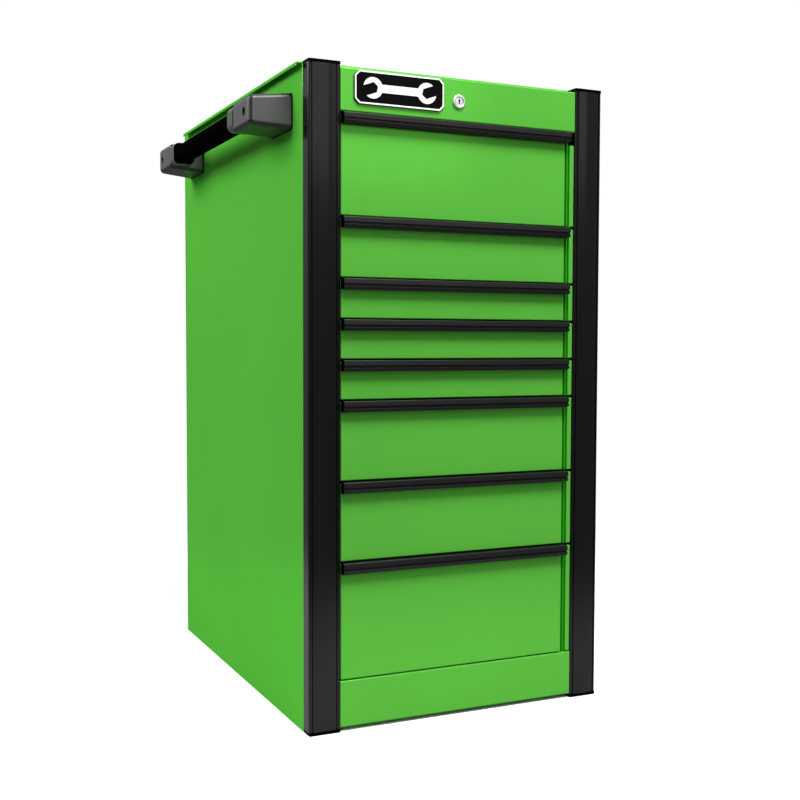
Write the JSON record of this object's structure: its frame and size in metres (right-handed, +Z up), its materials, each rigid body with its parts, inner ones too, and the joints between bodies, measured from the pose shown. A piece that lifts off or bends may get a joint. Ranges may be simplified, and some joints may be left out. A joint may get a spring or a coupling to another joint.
{
  "type": "tool side cabinet",
  "caption": "Tall narrow steel tool cabinet with a stack of full-extension drawers, black corner posts and drawer pulls, a header lock and a push handle on its left side.",
  "frame": {"origin": "on the floor, at the middle of the whole object's footprint, the push handle and the drawer pulls included", "axes": "+X to the right seen from the front, +Y to the back panel, so the drawers open along -Y, and +Z up"},
  "size_m": [0.53, 0.658, 0.92],
  "materials": {
    "cabinet_green": "glossy green powder coat",
    "post_black": "satin black coated extrusion",
    "pull_black": "satin black coated extrusion",
    "cap_black": "moulded gloss black",
    "plate_black": "moulded gloss black",
    "handle_grey": "satin dark grey coated casting",
    "tube_black": "satin black paint",
    "slide_zinc": "bright zinc plate",
    "bolt_black": "black oxide",
    "lock_chrome": "polished"
  },
  "bodies": {
    "cabinet": {"left_side_panel": "cabinet_green", "right_side_panel": "cabinet_green", "back_panel": "cabinet_green", "top_panel": "cabinet_green", "bottom_panel": "cabinet_green", "header_panel": "cabinet_green", "toe_panel": "cabinet_green", "left_corner_post": "post_black", "left_post_top_cap": "cap_black", "left_post_bottom_cap": "cap_black", "left_slide_wall": "slide_zinc", "right_corner_post": "post_black", "right_post_top_cap": "cap_black", "right_post_bottom_cap": "cap_black", "right_slide_wall": "slide_zinc", "name_plate": "plate_black", "lock_housing": "lock_chrome", "handle_front_bracket": "handle_grey", "handle_front_bolt": "bolt_black", "handle_rear_bracket": "handle_grey", "handle_rear_bolt": "bolt_black", "handle_tube": "tube_black"},
    "drawer_1": {"drawer_1_tray": "cabinet_green", "drawer_1_pull": "pull_black"},
    "drawer_1_middle": {"drawer_1_left_middle_member": "slide_zinc", "drawer_1_right_middle_member": "slide_zinc"},
    "drawer_2": {"drawer_2_tray": "cabinet_green", "drawer_2_pull": "pull_black"},
    "drawer_2_middle": {"drawer_2_left_middle_member": "slide_zinc", "drawer_2_right_middle_member": "slide_zinc"},
    "drawer_3": {"drawer_3_tray": "cabinet_green", "drawer_3_pull": "pull_black"},
    "drawer_3_middle": {"drawer_3_left_middle_member": "slide_zinc", "drawer_3_right_middle_member": "slide_zinc"},
    "drawer_4": {"drawer_4_tray": "cabinet_green", "drawer_4_pull": "pull_black"},
    "drawer_4_middle": {"drawer_4_left_middle_member": "slide_zinc", "drawer_4_right_middle_member": "slide_zinc"},
    "drawer_5": {"drawer_5_tray": "cabinet_green", "drawer_5_pull": "pull_black"},
    "drawer_5_middle": {"drawer_5_left_middle_member": "slide_zinc", "drawer_5_right_middle_member": "slide_zinc"},
    "drawer_6": {"drawer_6_tray": "cabinet_green", "drawer_6_pull": "pull_black"},
    "drawer_6_middle": {"drawer_6_left_middle_member": "slide_zinc", "drawer_6_right_middle_member": "slide_zinc"},
    "drawer_7": {"drawer_7_tray": "cabinet_green", "drawer_7_pull": "pull_black"},
    "drawer_7_middle": {"drawer_7_left_middle_member": "slide_zinc", "drawer_7_right_middle_member": "slide_zinc"},
    "drawer_8": {"drawer_8_tray": "cabinet_green", "drawer_8_pull": "pull_black"},
    "drawer_8_middle": {"drawer_8_left_middle_member": "slide_zinc", "drawer_8_right_middle_member": "slide_zinc"},
    "lock_cylinder": {"lock_plug": "lock_chrome", "lock_cam": "slide_zinc"}
  },
  "joints": [
    {"name": "drawer_1_slide", "type": "slide", "parent": "cabinet", "child": "drawer_1", "axis": [0, -1, 0], "range_m": [0, 0.55]},
    {"name": "drawer_2_slide", "type": "slide", "parent": "cabinet", "child": "drawer_2", "axis": [0, -1, 0], "range_m": [0, 0.55]},
    {"name": "drawer_3_slide", "type": "slide", "parent": "cabinet", "child": "drawer_3", "axis": [0, -1, 0], "range_m": [0, 0.55]},
    {"name": "drawer_4_slide", "type": "slide", "parent": "cabinet", "child": "drawer_4", "axis": [0, -1, 0], "range_m": [0, 0.55]},
    {"name": "drawer_5_slide", "type": "slide", "parent": "cabinet", "child": "drawer_5", "axis": [0, -1, 0], "range_m": [0, 0.55]},
    {"name": "drawer_6_slide", "type": "slide", "parent": "cabinet", "child": "drawer_6", "axis": [0, -1, 0], "range_m": [0, 0.55]},
    {"name": "drawer_7_slide", "type": "slide", "parent": "cabinet", "child": "drawer_7", "axis": [0, -1, 0], "range_m": [0, 0.55]},
    {"name": "drawer_8_slide", "type": "slide", "parent": "cabinet", "child": "drawer_8", "axis": [0, -1, 0], "range_m": [0, 0.55]},
    {"name": "drawer_1_middle_slide", "type": "slide", "parent": "cabinet", "child": "drawer_1_middle", "axis": [0, -1, 0], "range_m": [0, 0.275]},
    {"name": "drawer_2_middle_slide", "type": "slide", "parent": "cabinet", "child": "drawer_2_middle", "axis": [0, -1, 0], "range_m": [0, 0.275]},
    {"name": "drawer_3_middle_slide", "type": "slide", "parent": "cabinet", "child": "drawer_3_middle", "axis": [0, -1, 0], "range_m": [0, 0.275]},
    {"name": "drawer_4_middle_slide", "type": "slide", "parent": "cabinet", "child": "drawer_4_middle", "axis": [0, -1, 0], "range_m": [0, 0.275]},
    {"name": "drawer_5_middle_slide", "type": "slide", "parent": "cabinet", "child": "drawer_5_middle", "axis": [0, -1, 0], "range_m": [0, 0.275]},
    {"name": "drawer_6_middle_slide", "type": "slide", "parent": "cabinet", "child": "drawer_6_middle", "axis": [0, -1, 0], "range_m": [0, 0.275]},
    {"name": "drawer_7_middle_slide", "type": "slide", "parent": "cabinet", "child": "drawer_7_middle", "axis": [0, -1, 0], "range_m": [0, 0.275]},
    {"name": "drawer_8_middle_slide", "type": "slide", "parent": "cabinet", "child": "drawer_8_middle", "axis": [0, -1, 0], "range_m": [0, 0.275]},
    {"name": "lock_turn", "type": "hinge", "parent": "cabinet", "child": "lock_cylinder", "pos_m": [0.0225, -0.319, 0.882], "axis": [0, 1, 0], "range_deg": [0, 90]}
  ],
  "couplings": [
    {"joint": "drawer_1_middle_slide", "follows": "drawer_1_slide", "ratio": 0.5},
    {"joint": "drawer_2_middle_slide", "follows": "drawer_2_slide", "ratio": 0.5},
    {"joint": "drawer_3_middle_slide", "follows": "drawer_3_slide", "ratio": 0.5},
    {"joint": "drawer_4_middle_slide", "follows": "drawer_4_slide", "ratio": 0.5},
    {"joint": "drawer_5_middle_slide", "follows": "drawer_5_slide", "ratio": 0.5},
    {"joint": "drawer_6_middle_slide", "follows": "drawer_6_slide", "ratio": 0.5},
    {"joint": "drawer_7_middle_slide", "follows": "drawer_7_slide", "ratio": 0.5},
    {"joint": "drawer_8_middle_slide", "follows": "drawer_8_slide", "ratio": 0.5}
  ]
}
